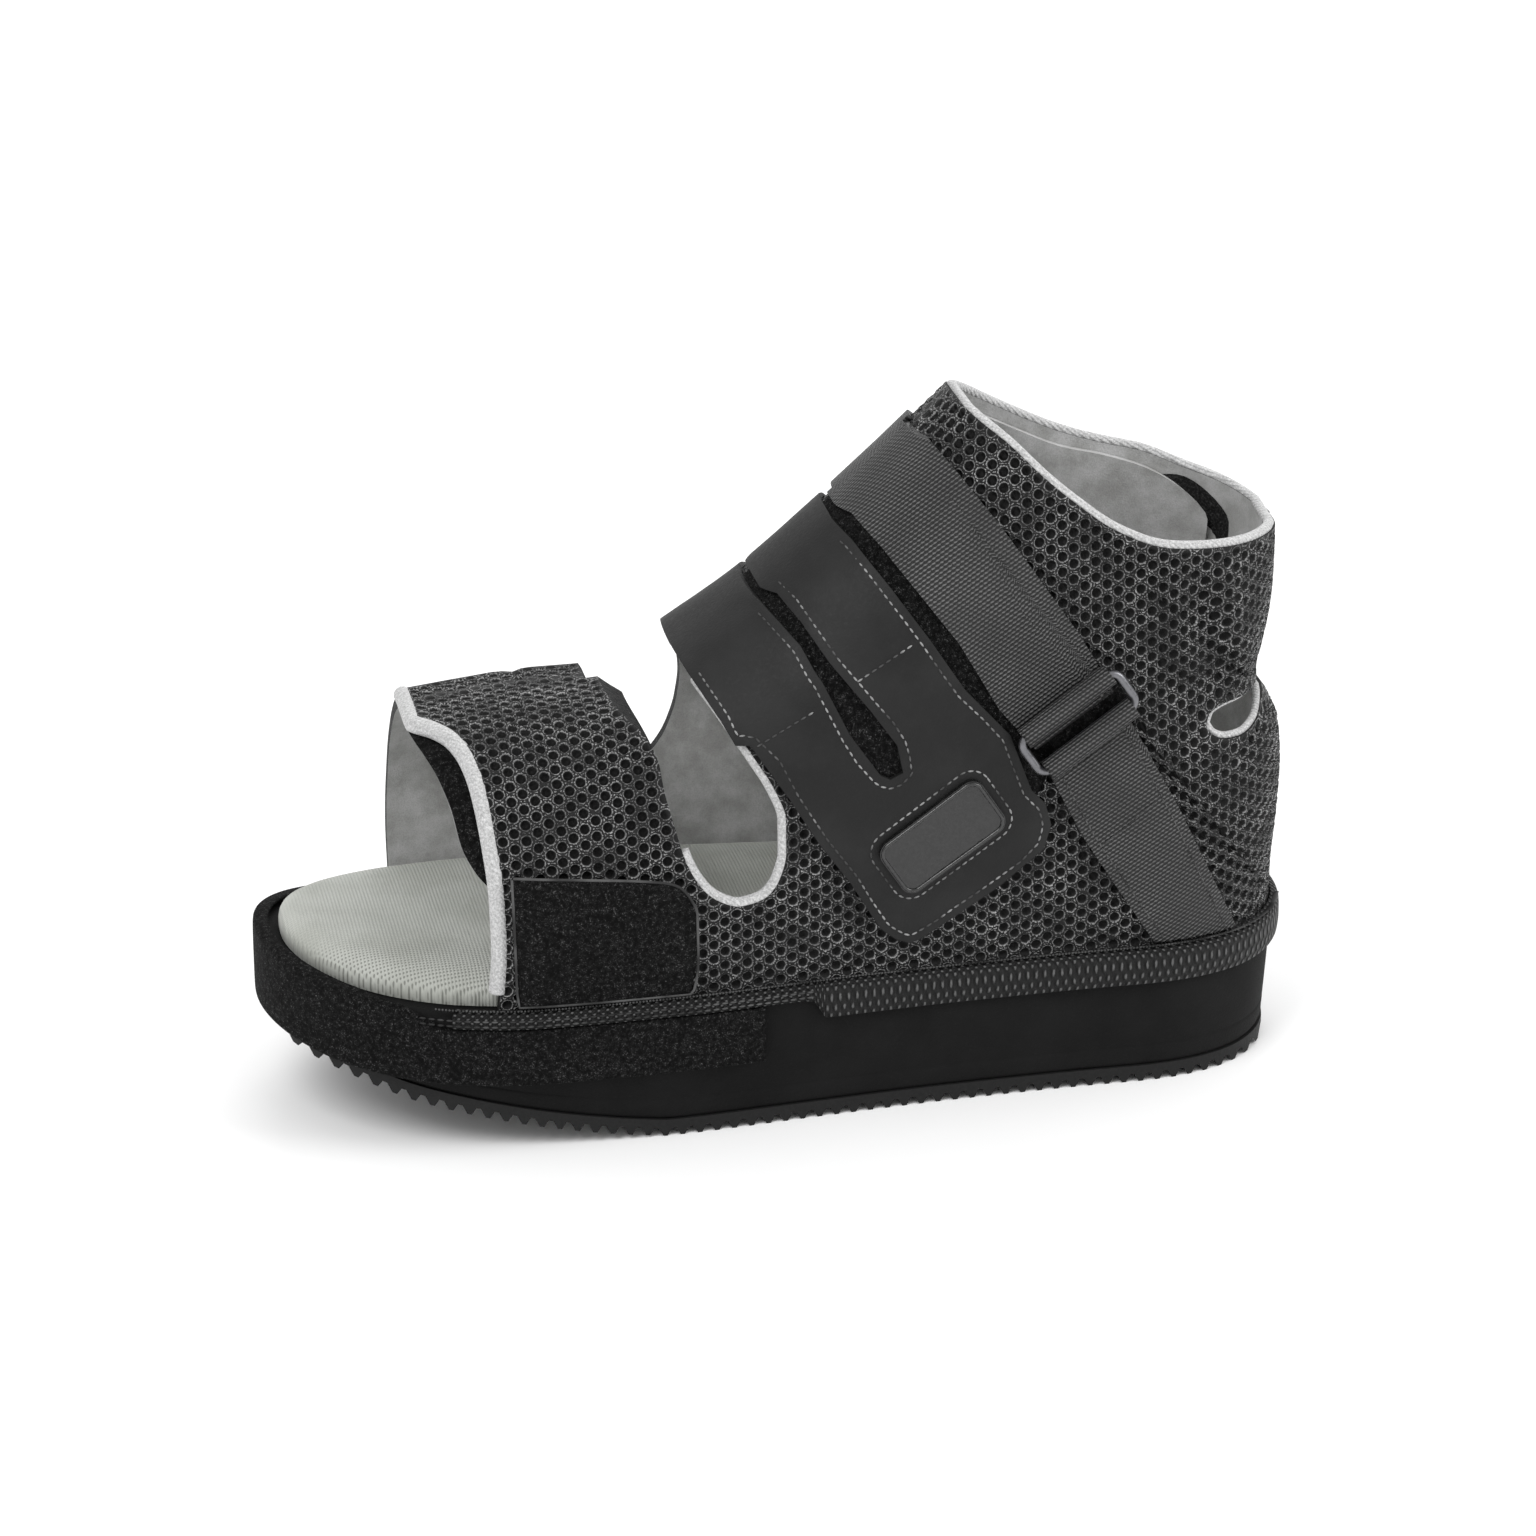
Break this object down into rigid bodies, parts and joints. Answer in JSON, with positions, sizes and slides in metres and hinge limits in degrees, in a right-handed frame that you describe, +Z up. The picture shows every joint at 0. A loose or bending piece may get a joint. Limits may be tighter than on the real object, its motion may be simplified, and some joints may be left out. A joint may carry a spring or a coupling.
{
  "type": "post operative shoe",
  "caption": "Open-toe post-operative shoe with rocker sole, wrap-over forefoot, mesh ankle shaft and strap closures.",
  "frame": {"origin": "on the floor under the middle of the shoe's length and width", "axes": "+X from toe to heel, +Y to the side away from the ring and patch, +Z up"},
  "size_m": [0.299, 0.108, 0.1994],
  "materials": {
    "rubber": "matte ribbed rubber",
    "eva_foam": "matte cut foam",
    "woven_tape": "coarse woven tape",
    "loop_pile": "loop pile",
    "grey_knit": "fine knit",
    "spacer_mesh": "open spacer mesh with a grey lining",
    "grey_lining": "brushed lining",
    "grey_binding": "knitted binding",
    "synthetic_leather": "fine matte grain",
    "badge_rubber": "satin moulded rubber",
    "webbing": "ribbed webbing",
    "dark_metal": "dark plated wire"
  },
  "bodies": {
    "root": {"outsole": "rubber", "midsole": "eva_foam", "welt": "woven_tape", "toe_band": "loop_pile", "insole": "grey_knit", "upper": "spacer_mesh", "inner_flap": "grey_lining", "binding_front": "grey_binding", "binding_scallop": "grey_binding", "binding_collar": "grey_binding", "patch": "synthetic_leather", "badge": "badge_rubber", "ankle_strap": "webbing", "anchor_strap": "webbing", "ring": "dark_metal", "loop_pad": "loop_pile"}
  },
  "joints": []
}
